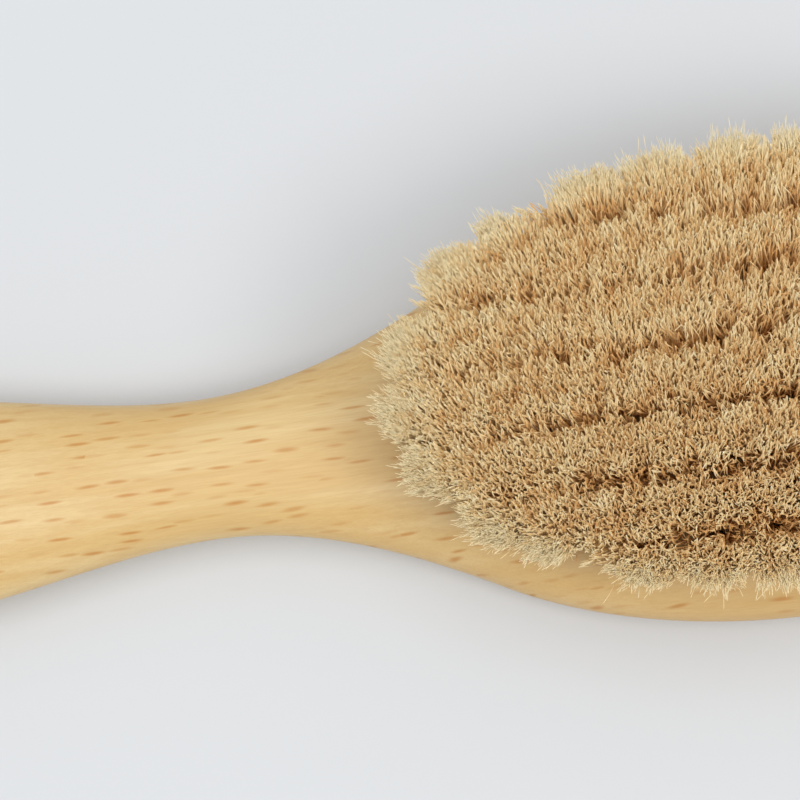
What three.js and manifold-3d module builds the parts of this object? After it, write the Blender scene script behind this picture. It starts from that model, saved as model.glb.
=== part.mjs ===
// A neck duster brush: a one-piece beech body, an oval head that runs through a waist into a
// bulbed handle, with seven straight rows of folded hair tufts set in blind holes in its face.
// Millimetres. +X runs from the handle to the head and +Z up through the hair. The origin is on
// the surface that the flat back rests on, below the middle of the object.
import * as THREE from 'three';
import { mergeVertices } from 'three/addons/utils/BufferGeometryUtils.js';
import Module from 'manifold-3d';

const wasm = await Module();
wasm.setup();

// Plan of the body
const LENGTH = 188;
const HEAD_HALF_LENGTH = 47.7;
const HEAD_HALF_WIDTH = 25.5;
const NECK_REACH = 34.2; // from the head's centre back to where the neck leaves the oval
const WAIST_REACH = 65.5; // from the head's centre back to the waist
const WAIST_HALF_WIDTH = 7.9;
const BULB_REACH = 37; // from the waist back to the handle's widest place
const BULB_HALF_WIDTH = 12.4;
const END_FULLNESS = 2.3; // exponent of the handle's rounded end, 2 for an ellipse

// Thickness of the body
const HEAD_THICKNESS = 11;
const WAIST_BACK = 1; // height of the underside above the resting surface
const WAIST_TOP = 11.6;
const BULB_BACK = 0.8;
const BULB_TOP = 13.6;
const END_THICKNESS_FULLNESS = 2.8;
const EDGE_ROUND = 6.5; // from the head's outline in to where its faces turn flat
const ROUND_SHARE = 0.93; // the most of a section's half width that its rounded side takes

// Rows of tufts, measured on the head's face between the middles of the holes
const ROWS_EACH_SIDE = 3;
const ROW_PITCH = 5.85;
const TUFT_PITCH = 6.75; // in the middle row; the others are divided as near to it as they can be
const FIELD_HALF_LENGTH = 40.5; // of the oval that the rows' ends lie on
const FIELD_HALF_WIDTH = 19.5;
const HOLE_RADIUS = 2.1;
const HOLE_DEPTH = 7;

// Hair
const TUFT_HEIGHT = 17; // above the face
const FAN_ALONG = 1.074; // spread of the tips over that of the roots, along the rows
const FAN_ACROSS = 1.205; // the same from row to row
const CROWN_OVERLAP = 0.15; // of a tuft's crown past halfway to its neighbour in the row
const CROWN_HALF_WIDTH = 3.3; // stays clear of the next row
const CROWN_EDGE = 1.2; // height of the crown's rounded edge
const CROWN_TOP_SHARE = 0.78; // size of the crown's top over its widest place
const GAP = 0.3; // between hair and hole

// Fineness of the facets
const HEAD_STEPS = 20;
const NECK_STEPS = 8;
const HANDLE_STEPS = 7;
const END_STEPS = 9;
const ARC_STEPS = 5;
const TUFT_SIDES = 8;

const HEAD_CENTRE_X = LENGTH / 2 - HEAD_HALF_LENGTH;
const NECK_X = HEAD_CENTRE_X - NECK_REACH;
const WAIST_X = HEAD_CENTRE_X - WAIST_REACH;
const BULB_X = WAIST_X - BULB_REACH;
const TIP_X = LENGTH / 2;
const END_X = -LENGTH / 2;

// A cubic from one value to another, with its slopes at both ends.
function cubic(t, from, slopeFrom, to, slopeTo) {
  const a = 2 * t ** 3 - 3 * t ** 2 + 1;
  const b = t ** 3 - 2 * t ** 2 + t;
  const c = t ** 3 - t ** 2;
  return from * a + slopeFrom * b + to * (1 - a) + slopeTo * c;
}

// How far along a stretch x lies, from 0 to 1.
function share(x, from, to) {
  return THREE.MathUtils.clamp((x - from) / (to - from), 0, 1);
}

// The fall from 1 to 0 over the handle's rounded end.
function endFall(x, fullness) {
  return (1 - share(x, BULB_X, END_X) ** fullness) ** (1 / fullness);
}

// Half the body's width.
function halfWidth(x) {
  if (x >= NECK_X) {
    return HEAD_HALF_WIDTH * Math.sqrt(1 - ((x - HEAD_CENTRE_X) / HEAD_HALF_LENGTH) ** 2);
  }
  if (x >= WAIST_X) {
    const neckWidth = halfWidth(NECK_X);
    const slope = (HEAD_HALF_WIDTH ** 2 * NECK_REACH) / (HEAD_HALF_LENGTH ** 2 * neckWidth);
    const t = share(x, WAIST_X, NECK_X);
    return cubic(t, WAIST_HALF_WIDTH, 0, neckWidth, slope * (NECK_X - WAIST_X));
  }
  if (x >= BULB_X) {
    return cubic(share(x, WAIST_X, BULB_X), WAIST_HALF_WIDTH, 0, BULB_HALF_WIDTH, 0);
  }
  return BULB_HALF_WIDTH * endFall(x, END_FULLNESS);
}

// The lowest and highest points of the body's section.
function backAndTop(x) {
  if (x >= NECK_X) {
    const inward = Math.min((TIP_X - x) / EDGE_ROUND, 1);
    const half = (HEAD_THICKNESS / 2) * Math.sqrt(1 - (1 - inward) ** 2);
    return [HEAD_THICKNESS / 2 - half, HEAD_THICKNESS / 2 + half];
  }
  if (x >= WAIST_X) {
    const t = share(x, NECK_X, WAIST_X);
    return [cubic(t, 0, 0, WAIST_BACK, 0), cubic(t, HEAD_THICKNESS, 0, WAIST_TOP, 0)];
  }
  if (x >= BULB_X) {
    const t = share(x, WAIST_X, BULB_X);
    return [cubic(t, WAIST_BACK, 0, BULB_BACK, 0), cubic(t, WAIST_TOP, 0, BULB_TOP, 0)];
  }
  const middle = (BULB_BACK + BULB_TOP) / 2;
  const half = ((BULB_TOP - BULB_BACK) / 2) * endFall(x, END_THICKNESS_FULLNESS);
  return [middle - half, middle + half];
}

// One section of the body: two flats joined by rounded sides, which take up nearly the whole
// section at the handle and only the edge of the head.
function bodySection(x) {
  const width = halfWidth(x);
  const [back, top] = backAndTop(x);
  const middle = (back + top) / 2;
  const rounding = cubic(share(x, NECK_X, WAIST_X), EDGE_ROUND, 0, BULB_HALF_WIDTH, 0);
  const side = Math.min(rounding, ROUND_SHARE * width);
  const ring = [];
  for (let quarter = 0; quarter < 4; quarter += 1) {
    for (let step = 0; step <= ARC_STEPS; step += 1) {
      const angle = ((quarter + step / ARC_STEPS) * Math.PI) / 2;
      const flat = (quarter === 0 || quarter === 3 ? 1 : -1) * (width - side);
      const z = middle + ((top - back) / 2) * Math.sin(angle);
      ring.push(new THREE.Vector3(x, flat + side * Math.cos(angle), z));
    }
  }
  return ring;
}

// A closed skin over a row of rings that hold the same number of points each.
function loft(rings, firstPole, lastPole) {
  const sides = rings[0].length;
  const points = [firstPole, ...rings.flat(), lastPole];
  const last = points.length - 1;
  const index = [];
  for (let i = 0; i < sides; i += 1) {
    const j = (i + 1) % sides;
    index.push(0, 1 + j, 1 + i);
    index.push(last, last - sides + i, last - sides + j);
    for (let r = 0; r < rings.length - 1; r += 1) {
      const a = 1 + r * sides;
      const b = a + sides;
      index.push(a + i, a + j, b + j);
      index.push(a + i, b + j, b + i);
    }
  }
  const geometry = new THREE.BufferGeometry().setFromPoints(points);
  geometry.setIndex(index);
  return geometry;
}

// A closed geometry as a solid that can be joined and cut, and back again.
function toSolid(geometry) {
  const bare = geometry.clone();
  bare.deleteAttribute('normal');
  bare.deleteAttribute('uv');
  const merged = mergeVertices(bare);
  const vertProperties = new Float32Array(merged.attributes.position.array);
  const triVerts = new Uint32Array(merged.index.array);
  return new wasm.Manifold(new wasm.Mesh({ numProp: 3, vertProperties, triVerts }));
}

function toGeometry(solid) {
  const { vertProperties, triVerts } = solid.getMesh();
  const geometry = new THREE.BufferGeometry();
  geometry.setAttribute('position', new THREE.BufferAttribute(vertProperties, 3));
  geometry.setIndex(new THREE.BufferAttribute(triVerts, 1));
  geometry.computeVertexNormals();
  return geometry;
}

// The places of the body's sections, closer together where its outline turns faster.
function bodyPlaces() {
  const places = [];
  for (let i = END_STEPS - 1; i > 0; i -= 1) {
    places.push(BULB_X + (END_X - BULB_X) * Math.sin(((i / END_STEPS) * Math.PI) / 2));
  }
  for (let i = 0; i < HANDLE_STEPS; i += 1) {
    places.push(THREE.MathUtils.lerp(BULB_X, WAIST_X, i / HANDLE_STEPS));
  }
  for (let i = 0; i < NECK_STEPS; i += 1) {
    places.push(THREE.MathUtils.lerp(WAIST_X, NECK_X, i / NECK_STEPS));
  }
  const neckAngle = Math.acos(-NECK_REACH / HEAD_HALF_LENGTH);
  for (let i = HEAD_STEPS; i > 0; i -= 1) {
    places.push(HEAD_CENTRE_X + HEAD_HALF_LENGTH * Math.cos((neckAngle * i) / HEAD_STEPS));
  }
  return places;
}

// A point on a tuft's middle line, at a height above the face. Tufts fan out from the middle.
function onTuft(tuft, height) {
  const rise = height / TUFT_HEIGHT;
  const along = tuft.x * (1 + (FAN_ALONG - 1) * rise);
  const across = tuft.y * (1 + (FAN_ACROSS - 1) * rise);
  return new THREE.Vector3(HEAD_CENTRE_X + along, across, HEAD_THICKNESS + height);
}

// A level ring around a tuft's middle line, with a flat side towards each neighbour.
function tuftRing(tuft, height, halfLength, halfWide) {
  const ring = [];
  const reach = 1 / Math.cos(Math.PI / TUFT_SIDES);
  for (let i = 0; i < TUFT_SIDES; i += 1) {
    const angle = ((i + 0.5) * 2 * Math.PI) / TUFT_SIDES;
    const point = onTuft(tuft, height);
    point.x += halfLength * reach * Math.cos(angle);
    point.y += halfWide * reach * Math.sin(angle);
    ring.push(point);
  }
  return ring;
}

// The tufts of one row, evenly spaced between its ends. Every other row has an odd number of
// them, so that each tuft stands between two of the next row.
function rowOfTufts(row) {
  const y = row * ROW_PITCH;
  const reach = FIELD_HALF_LENGTH * Math.sqrt(1 - (y / FIELD_HALF_WIDTH) ** 2);
  const pitches = reach / TUFT_PITCH;
  const spaces = row % 2 === 0 ? 2 * Math.round(pitches) : 2 * Math.round(pitches + 0.5) - 1;
  const pitch = (2 * reach) / spaces;
  const tufts = [];
  for (let i = 0; i <= spaces; i += 1) {
    tufts.push({ x: i * pitch - reach, y, pitch });
  }
  return tufts;
}

// The blind hole for a tuft, as the tool that cuts it.
function holeCutter(tuft) {
  const radius = HOLE_RADIUS;
  const rings = [-HOLE_DEPTH, 1].map((height) => tuftRing(tuft, height, radius, radius));
  return toSolid(loft(rings, onTuft(tuft, -HOLE_DEPTH), onTuft(tuft, 1)));
}

// A tuft: its folded root in the hole, and the hair spreading above it to a crown.
function tuftSolid(tuft) {
  const root = HOLE_RADIUS - GAP;
  const bottom = GAP - HOLE_DEPTH;
  const halfLength = (tuft.pitch * FAN_ALONG) / 2 + CROWN_OVERLAP;
  const topLength = halfLength * CROWN_TOP_SHARE;
  const topWidth = CROWN_HALF_WIDTH * CROWN_TOP_SHARE;
  const rings = [
    tuftRing(tuft, bottom, root, root),
    tuftRing(tuft, 0, root, root),
    tuftRing(tuft, TUFT_HEIGHT - CROWN_EDGE, halfLength, CROWN_HALF_WIDTH),
    tuftRing(tuft, TUFT_HEIGHT, topLength, topWidth),
  ];
  return toSolid(loft(rings, onTuft(tuft, bottom), onTuft(tuft, TUFT_HEIGHT)));
}

function woodenBody(rows) {
  const middle = (BULB_BACK + BULB_TOP) / 2;
  const end = new THREE.Vector3(END_X, 0, middle);
  const tip = new THREE.Vector3(TIP_X, 0, HEAD_THICKNESS / 2);
  const blank = toSolid(loft(bodyPlaces().map(bodySection), end, tip));
  const holes = rows.flat().map(holeCutter);
  return toGeometry(holes.reduce((body, hole) => body.subtract(hole), blank));
}

function rowOfHair(tufts) {
  return toGeometry(tufts.map(tuftSolid).reduce((row, tuft) => row.add(tuft)));
}

function beech() {
  return new THREE.MeshStandardMaterial({ color: 0xe4c48b, roughness: 0.5, metalness: 0 });
}

function goatHair() {
  return new THREE.MeshStandardMaterial({ color: 0xb9996a, roughness: 0.85, metalness: 0 });
}

function named(name, geometry, material) {
  const mesh = new THREE.Mesh(geometry, material);
  mesh.name = name;
  return mesh;
}

const brush = new THREE.Group();
const rows = [];
for (let row = -ROWS_EACH_SIDE; row <= ROWS_EACH_SIDE; row += 1) {
  rows.push(rowOfTufts(row));
}
brush.add(named('handle_body', woodenBody(rows), beech()));
rows.forEach((tufts, i) => {
  brush.add(named(`tuft_row_${i + 1}`, rowOfHair(tufts), goatHair()));
});

export default brush;
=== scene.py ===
"""A neck duster brush, lying on its back: a beech body and 71 tufts of goat hair, strand by strand.

Lengths of the brush are in millimetres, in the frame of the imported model, and turn into metres
where a mesh or an object is made. The camera, the lights and the floor are placed in metres.
"""
import math

import bpy
import numpy as np
from mathutils import Matrix, Vector


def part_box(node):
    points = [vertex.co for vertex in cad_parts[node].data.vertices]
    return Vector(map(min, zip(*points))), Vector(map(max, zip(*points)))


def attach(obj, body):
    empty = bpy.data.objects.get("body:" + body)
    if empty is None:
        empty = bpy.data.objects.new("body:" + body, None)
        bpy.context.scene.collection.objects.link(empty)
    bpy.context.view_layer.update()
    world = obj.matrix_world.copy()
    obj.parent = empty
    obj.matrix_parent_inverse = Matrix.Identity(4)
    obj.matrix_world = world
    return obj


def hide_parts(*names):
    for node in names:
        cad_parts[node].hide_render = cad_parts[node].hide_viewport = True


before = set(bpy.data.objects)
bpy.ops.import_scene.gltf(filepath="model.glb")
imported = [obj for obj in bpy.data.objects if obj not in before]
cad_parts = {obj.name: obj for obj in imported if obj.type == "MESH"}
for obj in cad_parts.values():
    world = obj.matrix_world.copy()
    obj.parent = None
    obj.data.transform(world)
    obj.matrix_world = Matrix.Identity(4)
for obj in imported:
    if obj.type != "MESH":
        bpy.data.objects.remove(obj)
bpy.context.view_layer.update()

MM = 0.001
BODY = "root"
WOOD_NODE = "handle_body"
ROW_NODES = sorted(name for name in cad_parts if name.startswith("tuft_row_"))

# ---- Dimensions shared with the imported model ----
# The body
HEAD_HALF_LENGTH = 47.7
HEAD_HALF_WIDTH = 25.5
NECK_REACH = 34.2
WAIST_REACH = 65.5
WAIST_HALF_WIDTH = 7.9
BULB_REACH = 37.0
BULB_HALF_WIDTH = 12.4
END_FULLNESS = 2.3
HEAD_THICKNESS = 11.0
WAIST_BACK = 1.0
WAIST_TOP = 11.6
BULB_BACK = 0.8
BULB_TOP = 13.6
END_THICKNESS_FULLNESS = 2.8
EDGE_ROUND = 6.5
ROUND_SHARE = 0.93

# The tufts and their holes
ROW_PITCH = 5.85
TUFT_PITCH = 6.75
FIELD_HALF_LENGTH = 40.5
FIELD_HALF_WIDTH = 19.5
HOLE_RADIUS = 2.1
HOLE_DEPTH = 7.0
TUFT_HEIGHT = 17.0
FAN_ALONG = 1.074
FAN_ACROSS = 1.205

wood_low, wood_high = (np.array(corner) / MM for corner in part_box(WOOD_NODE))
END_X = wood_low[0]
TIP_X = wood_high[0]
HEAD_CENTRE_X = TIP_X - HEAD_HALF_LENGTH
NECK_X = HEAD_CENTRE_X - NECK_REACH
WAIST_X = HEAD_CENTRE_X - WAIST_REACH
BULB_X = WAIST_X - BULB_REACH

random = np.random.default_rng(7)


# ---- Small helpers ----
def cubic(t, start, slope_start, end, slope_end):
    """A cubic from one value to another, with its slopes at both ends."""
    a = 2 * t**3 - 3 * t**2 + 1
    return start * a + slope_start * (t**3 - 2 * t**2 + t) + end * (1 - a) + slope_end * (t**3 - t**2)


def share(x, start, end):
    return min(max((x - start) / (end - start), 0.0), 1.0)


def smooth_min(a, b, blend):
    """The smaller of two lengths, with the corner between them rounded over a stretch."""
    h = max(blend - abs(a - b), 0.0) / blend
    return min(a, b) - h * h * blend / 4


def new_object(name, mesh):
    thing = bpy.data.objects.new(name, mesh)
    bpy.context.scene.collection.objects.link(thing)
    return thing


def mesh_from(name, points_mm, faces):
    mesh = bpy.data.meshes.new(name)
    mesh.from_pydata([tuple(p) for p in np.asarray(points_mm, float) * MM], [], faces)
    mesh.validate()
    mesh.update()
    return mesh


# ---- Camera, above the brush and a little to its near right, so that the brush fills the view ----
def look_at(thing, target, up):
    back = (thing.location - target).normalized()
    right = up.cross(back).normalized()
    turn = Matrix((right, back.cross(right), back)).transposed()
    thing.rotation_euler = turn.to_euler()


TILT_IN_VIEW = math.radians(7.6)
view_right = Vector((math.cos(TILT_IN_VIEW), -math.sin(TILT_IN_VIEW), 0))
view_up = Vector((math.sin(TILT_IN_VIEW), math.cos(TILT_IN_VIEW), 0))
CAMERA_TARGET = Vector((3.1, 4.8, HEAD_THICKNESS / 2)) * MM
CAMERA_RIGHT = 0.034
CAMERA_DOWN = 0.066
CAMERA_HEIGHT = 0.415
VIEW_WIDTH = 0.0894


def add_camera():
    data = bpy.data.cameras.new("camera")
    camera = bpy.data.objects.new("camera", data)
    bpy.context.scene.collection.objects.link(camera)
    aside = view_right * CAMERA_RIGHT - view_up * CAMERA_DOWN
    camera.location = CAMERA_TARGET + aside + Vector((0, 0, CAMERA_HEIGHT))
    look_at(camera, CAMERA_TARGET, view_up)
    distance = (camera.location - CAMERA_TARGET).length
    data.sensor_width = 36.0
    data.lens = data.sensor_width * distance / VIEW_WIDTH
    data.clip_start = 0.01
    bpy.context.scene.camera = camera


# ---- Materials ----
class Nodes:
    """A material's nodes, made one after another."""

    def __init__(self, name):
        self.material = bpy.data.materials.new(name)
        self.material.use_nodes = True
        self.tree = self.material.node_tree
        self.shader = self.tree.nodes["Principled BSDF"]

    def add(self, kind, settings=None, **inputs):
        node = self.tree.nodes.new("ShaderNode" + kind)
        for key, value in (settings or {}).items():
            setattr(node, key, value)
        for key, value in inputs.items():
            self.plug(node, key.replace("_", " "), value)
        return node

    def plug(self, node, key, value):
        socket = node.inputs[int(key)] if key.isdigit() else node.inputs[key]
        if isinstance(value, bpy.types.NodeSocket):
            self.tree.links.new(value, socket)
        else:
            socket.default_value = value

    def math(self, operation, a, b):
        node = self.add("Math", {"operation": operation})
        self.plug(node, "0", a)
        self.plug(node, "1", b)
        return node.outputs[0]

    def vector(self, operation, a, b):
        node = self.add("VectorMath", {"operation": operation})
        self.plug(node, "0", a)
        self.plug(node, "1", b)
        return node

    def ramp(self, value, low, high, to_low=0.0, to_high=1.0):
        node = self.add("MapRange", {"interpolation_type": "SMOOTHSTEP"})
        keys = ("Value", "From Min", "From Max", "To Min", "To Max")
        for key, setting in zip(keys, (value, low, high, to_low, to_high)):
            self.plug(node, key, setting)
        return node.outputs["Result"]

    def mix(self, factor, a, b, blend="MIX"):
        node = self.add("Mix", {"data_type": "RGBA", "blend_type": blend})
        self.plug(node, "0", factor)
        self.plug(node, "6", a)
        self.plug(node, "7", b)
        return node.outputs[2]

    def noise(self, space, detail, roughness=0.5, distortion=0.0):
        settings = {"Detail": detail, "Roughness": roughness, "Distortion": distortion}
        return self.add("TexNoise", Vector=space, Scale=1.0, **settings)

    def space(self, per_mm_x, per_mm_y, per_mm_z):
        """The object's own coordinates, stretched to so many cells per millimetre."""
        if not hasattr(self, "coordinates"):
            self.coordinates = self.add("TexCoord").outputs["Object"]
        scale = (per_mm_x / MM, per_mm_y / MM, per_mm_z / MM)
        return self.vector("MULTIPLY", self.coordinates, scale).outputs[0]


def colour(red, green, blue):
    """A colour as it looks on a screen, from 0 to 255, in linear light."""
    channels = []
    for value in (red, green, blue):
        v = value / 255
        channels.append(v / 12.92 if v <= 0.04045 else ((v + 0.055) / 1.055) ** 2.4)
    return (*channels, 1.0)


FLECK_SPACING = (3.9, 1.7, 1.8)  # along the grain, across it and in depth
FLECK_HALF_SIZE = (1.5, 0.21, 0.9)


def beech():
    """Pale beech with long soft grain, fine fibres and short dark ray flecks."""
    n = Nodes("beech")
    broad = n.noise(n.space(0.02, 0.16, 0.2), detail=3.0, distortion=0.6).outputs["Fac"]
    base = n.mix(n.ramp(broad, 0.36, 0.64), colour(227, 199, 143), colour(219, 184, 122))
    x = n.add("SeparateXYZ", Vector=n.coordinates).outputs["X"]
    # Darker and more orange towards the head: partly the wood's own tone and partly painted shade from the
    # hair over the head.
    headward = n.ramp(x, WAIST_X * MM, HEAD_CENTRE_X * MM, 0.0, 0.65)
    base = n.mix(headward, base, colour(214, 173, 109))

    streaks = n.noise(n.space(0.035, 1.5, 1.5), detail=4.0, roughness=0.6).outputs["Fac"]
    base = n.mix(n.ramp(streaks, 0.35, 0.7, 0.0, 0.3), base, colour(203, 161, 99))
    fibres = n.noise(n.space(0.25, 9.0, 9.0), detail=3.0, roughness=0.65).outputs["Fac"]
    base = n.mix(n.ramp(fibres, 0.3, 0.75, 0.0, 0.16), base, colour(160, 109, 56))

    warp = n.noise(n.space(0.05, 0.25, 0.25), detail=1.0).outputs["Color"]
    centred = n.vector("SUBTRACT", warp, (0.5, 0.5, 0.5)).outputs[0]
    bend = n.vector("MULTIPLY", centred, (0.0, 0.9, 0.9)).outputs[0]
    cells = n.vector("ADD", n.space(*(1 / s for s in FLECK_SPACING)), bend).outputs[0]
    voronoi = n.add("TexVoronoi", {"feature": "F1"}, Vector=cells, Scale=1.0, Randomness=0.9)
    offset = n.vector("SUBTRACT", cells, voronoi.outputs["Position"]).outputs[0]
    stretch = tuple(s / h for s, h in zip(FLECK_SPACING, FLECK_HALF_SIZE))
    reach = n.vector("LENGTH", n.vector("MULTIPLY", offset, stretch).outputs[0], (0, 0, 0)).outputs["Value"]
    chance = n.add("SeparateColor", Color=voronoi.outputs["Color"])
    strength = n.ramp(chance.outputs["Red"], 0.1, 0.8, 0.25, 0.9)
    fleck = n.math("MULTIPLY", n.ramp(reach, 1.35, 0.3), strength)
    base = n.mix(fleck, base, colour(194, 137, 69))
    n.plug(n.shader, "Base Color", base)

    gloss = n.ramp(n.noise(n.space(0.06, 0.5, 0.5), detail=3.0).outputs["Fac"], 0.3, 0.7, 0.36, 0.5)
    n.plug(n.shader, "Roughness", gloss)
    height = n.math("SUBTRACT", n.math("MULTIPLY", fibres, 0.5), n.math("MULTIPLY", fleck, 0.6))
    bump = n.add("Bump", Strength=0.22, Distance=0.06 * MM, Height=height)
    n.plug(n.shader, "Normal", bump.outputs[0])
    n.shader.inputs["Specular IOR Level"].default_value = 0.42
    return n.material


def goat_hair():
    """Undyed goat hair: each strand has its own tone, and is darker towards its root, which is painted
    shade of the hair around it.
    """
    n = Nodes("goat_hair")
    # The tone carries the rim's painted light and the furrows' painted shade as well as each strand's own
    # tone.
    tone = n.add("Attribute", {"attribute_name": "tone"}).outputs["Fac"]
    rise = n.add("Attribute", {"attribute_name": "rise"}).outputs["Fac"]
    hair = n.mix(n.ramp(tone, 0.0, 0.55), colour(231, 183, 120), colour(252, 224, 170))
    hair = n.mix(n.ramp(tone, 0.5, 1.0), hair, colour(255, 238, 196))
    # Painted shade: down towards its root a strand is multiplied darker and warmer, where the tuft shades
    # itself.
    root = n.mix(1.0, hair, colour(241, 198, 146), "MULTIPLY")
    n.plug(n.shader, "Base Color", n.mix(n.ramp(rise, 0.3, 0.92), root, hair))
    n.shader.inputs["Roughness"].default_value = 0.75
    n.shader.inputs["Specular IOR Level"].default_value = 0.1
    return n.material


def anchor_wire():
    """Drawn flat wire, with marks along it."""
    n = Nodes("anchor_wire")
    marks = n.noise(n.space(0.4, 8.0, 8.0), detail=3.0).outputs["Fac"]
    metal = n.mix(n.ramp(marks, 0.3, 0.7), colour(176, 172, 164), colour(205, 202, 196))
    n.plug(n.shader, "Base Color", metal)
    n.plug(n.shader, "Roughness", n.ramp(marks, 0.3, 0.7, 0.28, 0.45))
    n.shader.inputs["Metallic"].default_value = 1.0
    return n.material


# ---- The beech body ----
BODY_ARC_STEPS = 12
HOLE_SIDES = 24
BODY_STEPS = {"end": 34, "handle": 26, "neck": 30, "head": 64}
CORNER_BLEND = 1.5  # of the sides' two rules for rounding, where one takes over from the other
SHARP_ANGLE = math.radians(32)


def end_fall(x, fullness):
    return (1 - share(x, BULB_X, END_X) ** fullness) ** (1 / fullness)


def half_width(x):
    if x >= NECK_X:
        return HEAD_HALF_WIDTH * math.sqrt(max(1 - ((x - HEAD_CENTRE_X) / HEAD_HALF_LENGTH) ** 2, 0.0))
    if x >= WAIST_X:
        width = half_width(NECK_X)
        slope = HEAD_HALF_WIDTH**2 * NECK_REACH / (HEAD_HALF_LENGTH**2 * width)
        return cubic(share(x, WAIST_X, NECK_X), WAIST_HALF_WIDTH, 0, width, slope * (NECK_X - WAIST_X))
    if x >= BULB_X:
        return cubic(share(x, WAIST_X, BULB_X), WAIST_HALF_WIDTH, 0, BULB_HALF_WIDTH, 0)
    return BULB_HALF_WIDTH * end_fall(x, END_FULLNESS)


def back_and_top(x):
    if x >= NECK_X:
        inward = min((TIP_X - x) / EDGE_ROUND, 1)
        half = HEAD_THICKNESS / 2 * math.sqrt(1 - (1 - inward) ** 2)
        return HEAD_THICKNESS / 2 - half, HEAD_THICKNESS / 2 + half
    if x >= WAIST_X:
        t = share(x, NECK_X, WAIST_X)
        return cubic(t, 0, 0, WAIST_BACK, 0), cubic(t, HEAD_THICKNESS, 0, WAIST_TOP, 0)
    if x >= BULB_X:
        t = share(x, WAIST_X, BULB_X)
        return cubic(t, WAIST_BACK, 0, BULB_BACK, 0), cubic(t, WAIST_TOP, 0, BULB_TOP, 0)
    middle = (BULB_BACK + BULB_TOP) / 2
    half = (BULB_TOP - BULB_BACK) / 2 * end_fall(x, END_THICKNESS_FULLNESS)
    return middle - half, middle + half


def body_section(x):
    width = half_width(x)
    back, top = back_and_top(x)
    rounding = cubic(share(x, NECK_X, WAIST_X), EDGE_ROUND, 0, BULB_HALF_WIDTH, 0)
    side = smooth_min(rounding, ROUND_SHARE * width, CORNER_BLEND)
    ring = []
    for quarter, way in enumerate((1, -1, -1, 1)):
        for step in range(BODY_ARC_STEPS + 1):
            angle = (quarter + step / BODY_ARC_STEPS) * math.pi / 2
            y = way * (width - side) + side * math.cos(angle)
            ring.append((x, y, (back + top) / 2 + (top - back) / 2 * math.sin(angle)))
    return ring


def body_places():
    """Where the body's sections are, closer together where its outline turns faster."""
    steps = BODY_STEPS
    neck_angle = math.acos(-NECK_REACH / HEAD_HALF_LENGTH)
    places = []
    for i in range(steps["end"] - 1, 0, -1):
        places.append(BULB_X + (END_X - BULB_X) * math.sin(i / steps["end"] * math.pi / 2))
    places += list(np.linspace(BULB_X, WAIST_X, steps["handle"], endpoint=False))
    places += list(np.linspace(WAIST_X, NECK_X, steps["neck"], endpoint=False))
    for i in range(steps["head"], 0, -1):
        places.append(HEAD_CENTRE_X + HEAD_HALF_LENGTH * math.cos(neck_angle * i / steps["head"]))
    return places


def loft(rings, first_pole, last_pole):
    """Points and faces of a closed skin over rings of equally many points."""
    sides = len(rings[0])
    points = [first_pole] + [p for ring in rings for p in ring] + [last_pole]
    last = len(points) - 1
    faces = []
    for i in range(sides):
        j = (i + 1) % sides
        faces.append((0, 1 + j, 1 + i))
        faces.append((last, last - sides + i, last - sides + j))
        for r in range(len(rings) - 1):
            a = 1 + r * sides
            faces.append((a + i, a + j, a + sides + j, a + sides + i))
    return points, faces


def on_tuft(tuft, height):
    """A point on the middle line of a tuft's hole, at a height above the face."""
    rise = height / TUFT_HEIGHT
    x = tuft[0] * (1 + (FAN_ALONG - 1) * rise)
    y = tuft[1] * (1 + (FAN_ACROSS - 1) * rise)
    return np.array((HEAD_CENTRE_X + x, y, HEAD_THICKNESS + height))


def tufts_in_row(row):
    y = row * ROW_PITCH
    reach = FIELD_HALF_LENGTH * math.sqrt(1 - (y / FIELD_HALF_WIDTH) ** 2)
    if row % 2 == 0:
        spaces = 2 * round(reach / TUFT_PITCH)
    else:
        spaces = 2 * round(reach / TUFT_PITCH + 0.5) - 1
    return [(x, y) for x in np.linspace(-reach, reach, spaces + 1)]


# Heights above the face, with the cutter's radius there as a share of the hole's
HOLE_PROFILE = ((-HOLE_DEPTH, 1.0), (-0.25, 1.0), (0.0, 1.14), (1.0, 1.14))


def hole_cutters(tufts):
    """One mesh with the tool of every blind hole, which eases the hole's mouth."""
    points, faces = [], []
    angles = np.arange(HOLE_SIDES) * 2 * math.pi / HOLE_SIDES
    for tuft in tufts:
        rings = []
        for height, swell in HOLE_PROFILE:
            round_it = np.stack((np.cos(angles), np.sin(angles), 0 * angles), 1) * HOLE_RADIUS * swell
            rings.append(list(on_tuft(tuft, height) + round_it))
        more, their_faces = loft(rings, on_tuft(tuft, -HOLE_DEPTH), on_tuft(tuft, HOLE_PROFILE[-1][0]))
        faces += [tuple(i + len(points) for i in face) for face in their_faces]
        points += more
    return mesh_from("hole_cutters", points, faces)


def add_body(tufts):
    sections = [body_section(x) for x in body_places()]
    end = (END_X, 0, (BULB_BACK + BULB_TOP) / 2)
    tip = (TIP_X, 0, HEAD_THICKNESS / 2)
    body = new_object("beech_body", mesh_from("beech_body", *loft(sections, end, tip)))
    tools = new_object("hole_cutters", hole_cutters(tufts))
    cut = body.modifiers.new("holes", "BOOLEAN")
    cut.operation = "DIFFERENCE"
    cut.solver = "EXACT"
    cut.object = tools
    bpy.context.view_layer.update()
    drilled = bpy.data.meshes.new_from_object(body.evaluated_get(bpy.context.evaluated_depsgraph_get()))
    body.modifiers.clear()
    body.data = drilled
    bpy.data.objects.remove(tools)
    drilled.shade_smooth()
    drilled.set_sharp_from_angle(angle=SHARP_ANGLE)
    drilled.materials.clear()
    drilled.materials.append(beech())
    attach(body, BODY)
    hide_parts(WOOD_NODE)


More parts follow.
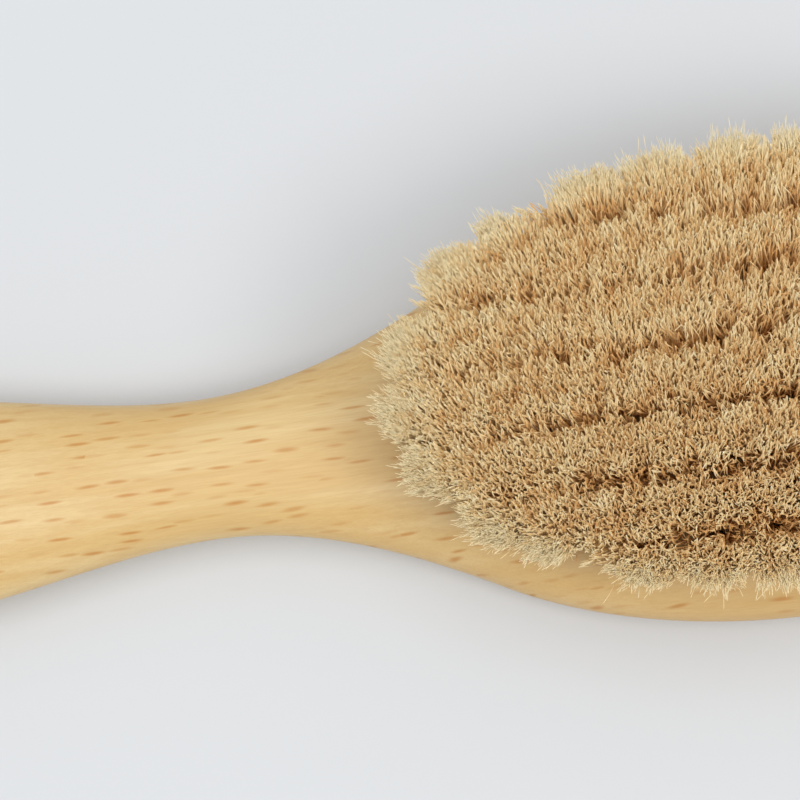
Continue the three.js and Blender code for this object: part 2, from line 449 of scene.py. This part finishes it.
# ---- The hair ----
# Seen from above, the tips fill an oval crown in small clumps, more loosely between the rows
CROWN_OVAL = np.array((44.2, 24.3))  # half sizes
CROWN_FULLNESS = (2.05, 2.5)  # of the oval's near and far sides
CROWN_RISE = 0.4  # of the longest hair above the tufts' nominal height
LOBE_DEPTH = 0.045  # of the dips in the rim between two tufts, as a share of the crown
LOBE_MOST = 1.5  # the deepest dip, in lobe depths
RIM_FROM = 0.86  # of the way out, where the crown starts to round down
RIM_DROP = 2.0
RIM_RAGGEDNESS = 0.01
FRINGE_FROM = 0.55  # of the rim's width, where its hair is a soft fringe
CLUMP_SPACING = 0.455
CLUMP_JITTER = 0.36
CLUMP_RADIUS = 0.09  # of the tips that lean together
CLUMP_DRAW = (1.03, 0.97)  # of clumps, away from their tuft along the row and towards it across
NEARNESS = (0.5, 1.0)  # weights of distances along and across the rows, which keep hair in its row
MINGLING = (0.88, 0.495)  # of the hair of neighbouring tufts
STRANDS_PER_CLUMP = 4
FRINGE_STRANDS = 12  # in a clump of the fringe
FRINGE_SPREAD = 3  # of its tips, in clump radii past the first

# Furrows run between the rows, and are shallower towards the handle
FURROW_FROM = 0.2  # of the way from a row to the furrow's middle
FURROW_SLOPE = 0.65
FURROW_MOST = 1.25
FURROW_DEPTH = 3.6
FURROW_GAPS = 0.38  # share of the clumps that are missing
FURROW_FADE = 0.8  # from the head's middle to the handle's end of the crown
FURROW_LEAST = 0.3
FURROW_PATCHES = 0.35
PATCH_MOST = 1.5
TUFT_FURROW_RANGE = (0.75, 1.25)
CLUMP_FURROW_RANGE = (0.5, 1.2)

# Patches of longer and paler hair
PATCH_WAVES = 14
PATCH_LENGTHS = (2.2, 5.5)
PATCH_HEIGHT = 0.2
PATCH_TONE = 0.1

# Strands
STRAND_RADIUS = 0.055
FRINGE_THINNESS = 0.6
THICKNESS_RANGE = (0.75, 1.25)
BUNDLE_RADIUS = 1.9  # of the strands' middles where they leave the hole
FOLD_SHARE = 0.55  # of the bundle's size at the anchor
RING_AT = (-6.2, 0.0, 0.4, 0.78, 0.96)  # below the face in millimetres, then as shares of the rise
RING_WIDTH = (0.8, 1.0, 1.0, 1.05, 1.05)
STRAND_SIDES = 3
INNER_CURVE = 1.9  # inner strands spread at once and then stand up straight
RIM_CURVE = 1.15  # the rim's strands lean outward more and more
FLICK_FROM = 0.7  # of the rise, where a clump's tips turn aside together

# How clumps and strands differ: standard deviations, or shape and scale of a gamma distribution
TUFT_SHIFT = 0.12
TUFT_HEIGHT_SPREAD = 0.25
CLUMP_HEIGHT_SPREAD = 0.3
STRAND_SHORTNESS = (1.3, 0.3)
FRINGE_STRAY = (1.2, 0.45)
ROOT_SHUFFLE = 0.4
ROOT_TURN = 0.2
STRAND_BEND = 0.55
CLUMP_FLICK = 0.2
STRAND_FLICK = 0.08

# Tones from 0, tan, to 1, nearly white
MIDDLE_TONE = 0.46
# Painted light: the rim's hair is painted paler, as the light that comes through the fine fringe.
RIM_PAINTED_LIGHT = 0.65
# Painted shade: the hair deep in the furrows between rows is painted darker.
FURROW_PAINTED_SHADE = 0.4
TUFT_TONE_SPREAD = 0.03
CLUMP_TONE_SPREAD = 0.14
STRAND_TONE_SPREAD = 0.16

# What a strand's shading faces: its own side, its tip and the sky
SIDE_SHADE = 0.18
TIP_SHADE = 0.4
SKY_SHADE = 0.7

patch_angles = random.uniform(0, 2 * math.pi, PATCH_WAVES)
patch_lengths = random.uniform(*PATCH_LENGTHS, PATCH_WAVES)
patch_ways = np.stack((np.cos(patch_angles), np.sin(patch_angles)), 1)
patch_waves = patch_ways * 2 * math.pi / patch_lengths[:, None]
patch_phases = random.uniform(0, 2 * math.pi, PATCH_WAVES)


def patches(spots):
    """Soft patches a few millimetres across, about 0 and with a spread of 1."""
    return np.cos(spots @ patch_waves.T + patch_phases).sum(axis=1) * math.sqrt(2 / PATCH_WAVES)


def disc(count, radius):
    """Points spread evenly and at random over a disc."""
    angle = random.uniform(0, 2 * math.pi, count)
    out = radius * np.sqrt(random.uniform(0, 1, count))
    return np.stack((out * np.cos(angle), out * np.sin(angle)), 1)


def crown_reach(spots):
    """How far out points are on the crown: 0 in its middle and 1 on its rim."""
    fullness = np.where(spots[:, 1] < 0, *CROWN_FULLNESS)
    shares = np.abs(spots / CROWN_OVAL)
    return (shares[:, 0] ** fullness + shares[:, 1] ** fullness) ** (1 / fullness)


def clumps_of_tufts(tufts):
    """Clumps of hair spread over the whole crown, each given to the tuft that it stands nearest."""
    step = np.array((1, math.sqrt(3) / 2)) * CLUMP_SPACING
    reach = np.ceil(CROWN_OVAL / step) + 1
    i, j = np.meshgrid(np.arange(-reach[0], reach[0] + 1), np.arange(-reach[1], reach[1] + 1))
    spots = np.stack((i + 0.5 * (j % 2), j), 2).reshape(-1, 2) * step
    spots += random.uniform(-CLUMP_JITTER, CLUMP_JITTER, spots.shape) * CLUMP_SPACING
    spots = spots[crown_reach(spots) < 1]
    crowns = np.array(tufts) * (FAN_ALONG, FAN_ACROSS)
    away = spots[:, None] - crowns[None]
    away += random.normal(0, 1, (len(spots), 1, 2)) * MINGLING
    nearest = np.argmin((away**2 * NEARNESS).sum(axis=2), axis=1)
    return [spots[nearest == k] for k in range(len(tufts))]


def furrow_shares(clumps, away, rim):
    """How deep clumps lie in the furrow between two rows: 0 on a row and about 1 in the furrow."""
    across = np.abs(away[:, 1]) / (ROW_PITCH * FAN_ACROSS / 2)
    furrow = np.clip((across - FURROW_FROM) / FURROW_SLOPE, 0, FURROW_MOST) * (1 - rim)
    headward = 1 + FURROW_FADE * clumps[:, 0] / CROWN_OVAL[0]
    furrow *= np.clip(headward, FURROW_LEAST, 1) * random.uniform(*TUFT_FURROW_RANGE)
    furrow *= np.clip(1 - FURROW_PATCHES * patches(clumps), 0, PATCH_MOST)
    return furrow * random.uniform(*CLUMP_FURROW_RANGE, len(clumps))


def rim_dips(crown, away):
    """How far the rim draws back at a tuft's clumps, most between two tufts, as shares of the crown."""
    outward = crown / CROWN_OVAL**2
    sideways = away @ np.array((-outward[1], outward[0])) / max(np.linalg.norm(outward), 1e-6)
    return LOBE_DEPTH * np.clip((sideways / (TUFT_PITCH * FAN_ALONG / 2)) ** 2, 0, LOBE_MOST)


def bundle(away):
    """Where strands leave their hole: filling it evenly, each on the side that it leans to."""
    count = len(away)
    far = np.linalg.norm(away, axis=1) + random.normal(0, ROOT_SHUFFLE, count)
    out = np.sqrt((np.argsort(np.argsort(far)) + 0.5) / count) * BUNDLE_RADIUS
    turn = np.arctan2(away[:, 1], away[:, 0]) + random.normal(0, ROOT_TURN, count)
    return out[:, None] * np.stack((np.cos(turn), np.sin(turn)), 1)


def strand_paths(tuft, clumps):
    """The middle line of each strand of a tuft, as (strands, rings + 1, 3), its thickness and its tone."""
    crown = np.array(tuft) * (FAN_ALONG, FAN_ACROSS)
    rim = np.clip((crown_reach(clumps) - RIM_FROM) / (1 - RIM_FROM), 0, 1)
    away = clumps - crown
    furrow = furrow_shares(clumps, away, rim)
    kept = random.uniform(0, 1, len(clumps)) > FURROW_GAPS * furrow**2
    ragged = random.normal(0, RIM_RAGGEDNESS, len(clumps))
    kept &= crown_reach(clumps) < 1 - rim_dips(crown, away) + ragged
    clumps, rim, away, furrow = (values[kept] for values in (clumps, rim, away, furrow))

    spot = crown + away * CLUMP_DRAW + random.normal(0, TUFT_SHIFT, 2)
    high = TUFT_HEIGHT + CROWN_RISE + random.normal(0, TUFT_HEIGHT_SPREAD)
    high += random.normal(0, CLUMP_HEIGHT_SPREAD, len(clumps)) + PATCH_HEIGHT * patches(clumps)
    high -= FURROW_DEPTH * furrow**2 + RIM_DROP * rim**2
    tone = MIDDLE_TONE + random.normal(0, TUFT_TONE_SPREAD)
    tone += random.normal(0, CLUMP_TONE_SPREAD, len(clumps)) + PATCH_TONE * patches(clumps)
    # On top of each strand's own tone: painted light on the rim and painted shade in the furrows.
    tone += RIM_PAINTED_LIGHT * rim - FURROW_PAINTED_SHADE * furrow**2

    # From clumps to their strands
    strands_in_it = np.where(rim > FRINGE_FROM, FRINGE_STRANDS, STRANDS_PER_CLUMP)
    which = np.repeat(np.arange(len(clumps)), strands_in_it)
    count = len(which)
    rim = rim[which]
    outward = clumps[which] / np.linalg.norm(clumps[which], axis=1)[:, None]
    stray = rim * random.gamma(*FRINGE_STRAY, count)
    tip = spot[which] + disc(count, CLUMP_RADIUS) * (1 + FRINGE_SPREAD * rim[:, None])
    tip += outward * stray[:, None]
    high = high[which] - random.gamma(*STRAND_SHORTNESS, count)
    root = bundle(away[which])
    bend = random.normal(0, STRAND_BEND, (count, 2))
    flick = random.normal(0, CLUMP_FLICK, (len(clumps), 2))[which]
    flick += random.normal(0, STRAND_FLICK, (count, 2))

    lines = np.zeros((count, len(RING_AT) + 1, 3))
    fold = on_tuft(tuft, RING_AT[0])
    lines[:, 0, :2] = fold[:2] + root * FOLD_SHARE
    lines[:, 0, 2] = fold[2]
    start = np.array((HEAD_CENTRE_X, 0)) + tuft + root
    end = np.array((HEAD_CENTRE_X, 0)) + tip
    for k, rise in enumerate((*RING_AT[1:], 1.0), start=1):
        along = 1 - (1 - rise) ** INNER_CURVE * (1 - rim) - (1 - rise**RIM_CURVE) * rim
        lines[:, k, :2] = start + (end - start) * along[:, None]
        lines[:, k, :2] += bend * math.sin(math.pi * rise) ** 2
        lines[:, k, :2] += flick * (share(rise, FLICK_FROM, 1.0) ** 1.5 - 0.5)
        lines[:, k, 2] = HEAD_THICKNESS + high * rise
    thick = STRAND_RADIUS * random.uniform(*THICKNESS_RANGE, count)
    thick *= np.where(rim > FRINGE_FROM, FRINGE_THINNESS, 1)
    tone = tone[which] + random.normal(0, STRAND_TONE_SPREAD, count)
    return lines, thick, np.clip(tone, 0, 1)


def strand_normals(lines, around):
    """Normals that lean towards the tip, as light that comes down through pale hair shades it."""
    along = np.gradient(lines, axis=1)
    along /= np.linalg.norm(along, axis=2)[:, :, None]
    sideways = around[:, None] * SIDE_SHADE
    normals = along[:, :-1, None] * TIP_SHADE + sideways + (0, 0, SKY_SHADE)
    normals = np.concatenate((normals.reshape(len(lines), -1, 3), along[:, -1:]), 1).reshape(-1, 3)
    return (normals / np.linalg.norm(normals, axis=1)[:, None]).tolist()


def strands_mesh(name, lines, thick, tone):
    """Closed three-sided strands that taper to a point, with the attributes tone and rise."""
    count, places, _ = lines.shape
    rings = places - 1
    turn = random.uniform(0, 2 * math.pi, count)
    side_angle = turn[:, None] + np.arange(STRAND_SIDES) * 2 * math.pi / STRAND_SIDES
    around = np.stack((np.cos(side_angle), np.sin(side_angle), np.zeros_like(side_angle)), 2)
    width = thick[:, None] * np.array(RING_WIDTH)
    ring_points = lines[:, :rings, None, :] + around[:, None] * width[:, :, None, None]
    points = np.concatenate((ring_points.reshape(count, -1, 3), lines[:, -1:, :]), 1)
    each = rings * STRAND_SIDES + 1
    faces = [tuple(range(STRAND_SIDES))[::-1]]
    for i in range(STRAND_SIDES):
        j = (i + 1) % STRAND_SIDES
        for r in range(rings - 1):
            a = r * STRAND_SIDES
            faces.append((a + i, a + j, a + STRAND_SIDES + j, a + STRAND_SIDES + i))
        a = (rings - 1) * STRAND_SIDES
        faces.append((a + i, a + j, each - 1))
    sizes = np.tile([len(f) for f in faces], count)
    corners = np.array([i for f in faces for i in f])
    corners = (corners[None] + (np.arange(count) * each)[:, None]).ravel()

    mesh = bpy.data.meshes.new(name)
    mesh.vertices.add(count * each)
    mesh.vertices.foreach_set("co", (points * MM).ravel())
    mesh.loops.add(len(corners))
    mesh.loops.foreach_set("vertex_index", corners)
    mesh.polygons.add(len(sizes))
    mesh.polygons.foreach_set("loop_start", np.concatenate(([0], np.cumsum(sizes)[:-1])))
    mesh.update(calc_edges=True)
    mesh.shade_smooth()
    mesh.normals_split_custom_set_from_vertices(strand_normals(lines, around))
    rise = np.append(np.repeat(np.clip(RING_AT, 0, 1), STRAND_SIDES), 1.0)
    for key, values in (("tone", np.repeat(tone, each)), ("rise", np.tile(rise, count))):
        mesh.attributes.new(key, "FLOAT", "POINT").data.foreach_set("value", values.astype(np.float32))
    return mesh


def add_tuft(name, tuft, clumps, node, material):
    piece = new_object(name, strands_mesh(name, *strand_paths(tuft, clumps)))
    piece.data.materials.append(material)
    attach(piece, BODY)
    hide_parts(node)


# ---- The anchors ----
ANCHOR_BITE = 0.25  # how far each end stands in the wood
ANCHOR_WIDTH = 1.5
ANCHOR_THICKNESS = 0.3
ANCHOR_RISE = 0.9  # of its middle above the hole's bottom
ANCHOR_EASE = 0.1


def add_anchor(name, tuft, material):
    """A flat wire on edge across the hole, its corners eased, over the fold of the hair."""
    half = (HOLE_RADIUS + ANCHOR_BITE, ANCHOR_THICKNESS / 2, ANCHOR_WIDTH / 2)
    ease = ANCHOR_EASE
    rings = []
    for x, shrink in ((-half[0], ease), (-half[0] + ease, 0), (half[0] - ease, 0), (half[0], ease)):
        y, z = half[1] - shrink / 2, half[2] - shrink
        corner = ((y, z - ease), (y - ease / 2, z), (ease / 2 - y, z), (-y, z - ease))
        ring = [(x, a, b) for a, b in corner] + [(x, -a, -b) for a, b in corner]
        rings.append(ring)
    points, faces = loft(rings, (-half[0], 0, 0), (half[0], 0, 0))
    place = on_tuft(tuft, ANCHOR_RISE - HOLE_DEPTH)
    piece = new_object(name, mesh_from(name, np.array(points) + place, faces))
    piece.data.materials.append(material)
    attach(piece, BODY)


# ---- Floor and light ----
FLOOR_HALF_SIZE = 2.5


def add_floor():
    half = FLOOR_HALF_SIZE
    corners = [(-half, -half, 0), (half, -half, 0), (half, half, 0), (-half, half, 0)]
    mesh = bpy.data.meshes.new("floor")
    mesh.from_pydata(corners, [], [(0, 1, 2, 3)])
    floor = new_object("floor", mesh)
    n = Nodes("pale_floor")
    n.shader.inputs["Base Color"].default_value = (0.665, 0.677, 0.691, 1.0)
    n.shader.inputs["Roughness"].default_value = 0.7
    n.shader.inputs["Specular IOR Level"].default_value = 0.2
    mesh.materials.append(n.material)


def add_light(name, right, up, high, size, watts, tint):
    data = bpy.data.lights.new(name, "AREA")
    data.shape = "DISK"
    data.size = size
    data.energy = watts
    data.color = tint
    light = bpy.data.objects.new(name, data)
    bpy.context.scene.collection.objects.link(light)
    light.location = CAMERA_TARGET + view_right * right + view_up * up + Vector((0, 0, high))
    look_at(light, CAMERA_TARGET, view_up)


def add_lights():
    warm, cool = (1.0, 0.995, 0.985), (0.99, 0.995, 1.0)
    add_light("window", right=0.6, up=-0.36, high=0.95, size=0.5, watts=3.1, tint=warm)
    add_light("overhead", right=0.02, up=-0.06, high=1.3, size=1.3, watts=8.5, tint=cool)
    world = bpy.data.worlds.new("room")
    bpy.context.scene.world = world
    world.use_nodes = True
    background = world.node_tree.nodes["Background"]
    background.inputs["Color"].default_value = (0.95, 0.975, 1.0, 1.0)
    background.inputs["Strength"].default_value = 0.62


# ---- The whole ----
bpy.context.scene.view_settings.view_transform = "Standard"
add_camera()
add_lights()
add_floor()

half_rows = len(ROW_NODES) // 2
layout = {node: tufts_in_row(i - half_rows) for i, node in enumerate(ROW_NODES)}
every_tuft = [tuft for tufts in layout.values() for tuft in tufts]
clumps = iter(clumps_of_tufts(every_tuft))
add_body(every_tuft)
hair_material = goat_hair()
wire_material = anchor_wire()
for number, (node, tufts) in enumerate(layout.items(), start=1):
    for place, tuft in enumerate(tufts, start=1):
        add_tuft(f"tuft_{number}_{place:02d}", tuft, next(clumps), node, hair_material)
        add_anchor(f"anchor_{number}_{place:02d}", tuft, wire_material)
